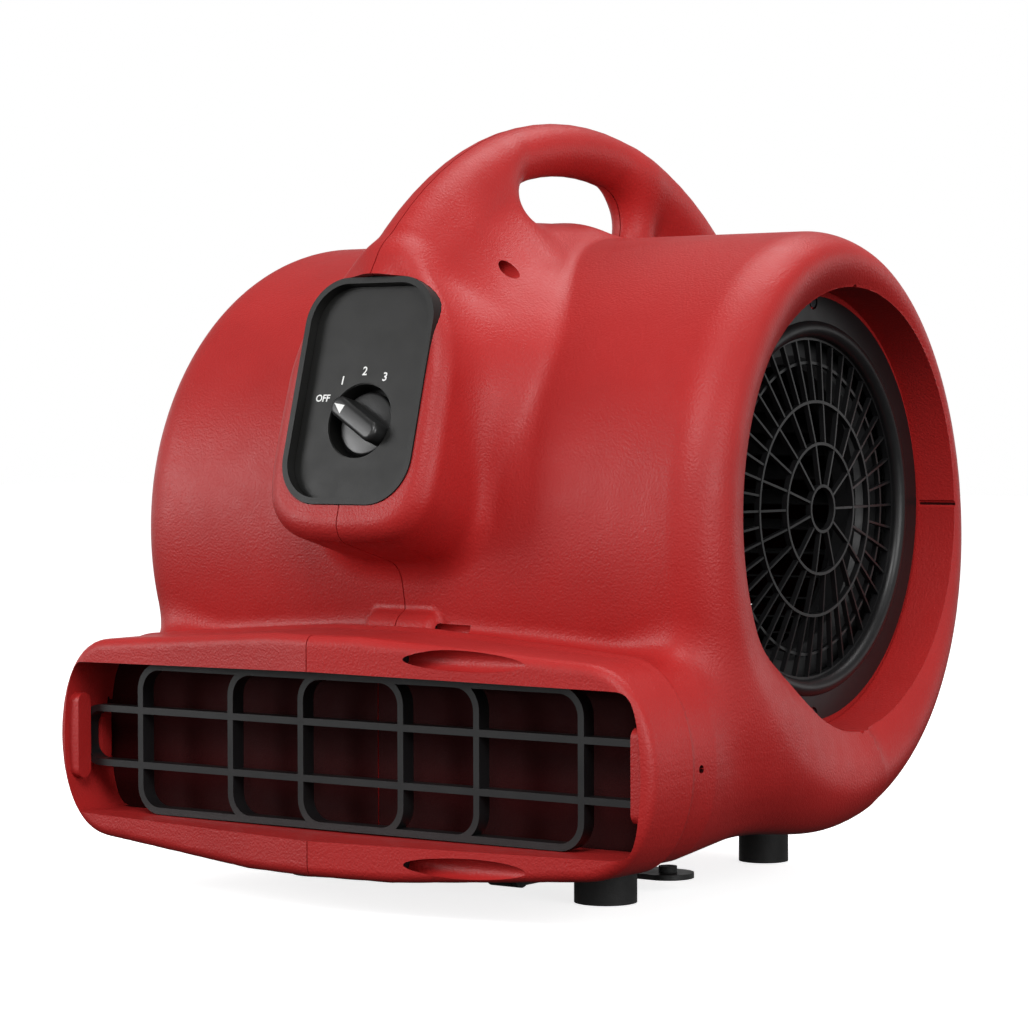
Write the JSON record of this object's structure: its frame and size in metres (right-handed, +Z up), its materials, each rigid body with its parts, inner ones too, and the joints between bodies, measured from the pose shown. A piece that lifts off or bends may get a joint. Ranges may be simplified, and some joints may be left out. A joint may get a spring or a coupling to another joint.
{
  "type": "air mover",
  "caption": "Floor-standing centrifugal air mover with a round red two-part housing, round intakes on both ends, a low wide grilled outlet, a carry handle and a rotary speed switch.",
  "frame": {"origin": "on the floor under the middle of the machine's bounding box", "axes": "+Z up from the feet to the handle, -Y out of the outlet, +X along the fan axis towards the right intake as seen from the outlet side"},
  "size_m": [0.468, 0.485, 0.5037],
  "materials": {
    "housing_red": "fine pebbled satin moulded plastic",
    "grille_black": "satin moulded plastic",
    "panel_black": "satin moulded plastic",
    "moulding_black": "matte moulded plastic",
    "rubber_black": "matte moulded rubber",
    "screw_steel": "black zinc",
    "wheel_black": "moulded glass-filled nylon",
    "zinc_steel": "zinc plated",
    "motor_iron": "laminated steel",
    "winding_copper": "enamelled copper wire",
    "motor_paint": "satin black paint",
    "stand_paint": "black powder coat",
    "terminal_brass": "tinned brass",
    "capacitor_shell": "grey moulded shell"
  },
  "bodies": {
    "machine": {"housing_right": "housing_red", "housing_left": "housing_red", "outlet_grille": "grille_black", "inlet_ring_right": "moulding_black", "inlet_ring_left": "moulding_black", "intake_grille_right": "grille_black", "intake_grille_left": "grille_black", "intake_screws_right": "screw_steel", "intake_screws_left": "screw_steel", "motor_stator": "motor_iron", "motor_windings": "winding_copper", "motor_casing": "motor_paint", "motor_bell_inner": "motor_paint", "motor_bell_outer": "motor_paint", "motor_bearings": "zinc_steel", "motor_mount": "motor_paint", "motor_mount_bolts": "zinc_steel", "control_panel": "panel_black", "panel_label": "panel_black", "rotary_switch": "moulding_black", "switch_terminals": "terminal_brass", "run_capacitor": "capacitor_shell", "capacitor_clamp": "zinc_steel", "cord_gland": "moulding_black", "cord_gland_nut": "moulding_black", "foot_front_right": "rubber_black", "foot_front_left": "rubber_black", "foot_rear_right": "rubber_black", "foot_rear_left": "rubber_black", "foot_screws": "screw_steel", "kickstand_rod": "zinc_steel", "kickstand_brackets": "stand_paint", "housing_screws": "screw_steel"},
    "fan": {"blower_wheel": "wheel_black", "wheel_hub": "zinc_steel", "hub_set_screw": "screw_steel", "motor_shaft": "zinc_steel", "motor_rotor": "motor_iron"},
    "knob": {"speed_knob": "panel_black"},
    "stand": {"kickstand": "stand_paint", "kickstand_pads": "rubber_black"}
  },
  "joints": [
    {"name": "fan_spin", "type": "hinge", "parent": "machine", "child": "fan", "pos_m": [0, 0.074, 0.245], "axis": [1, 0, 0], "continuous": true},
    {"name": "speed_dial", "type": "hinge", "parent": "machine", "child": "knob", "pos_m": [0, -0.18807, 0.30378], "axis": [0, 0.9636, -0.2672], "range_deg": [0, 90]},
    {"name": "kickstand_fold", "type": "hinge", "parent": "machine", "child": "stand", "pos_m": [0, -0.112, 0.016], "axis": [-1, 0, 0], "range_deg": [0, 100]}
  ]
}
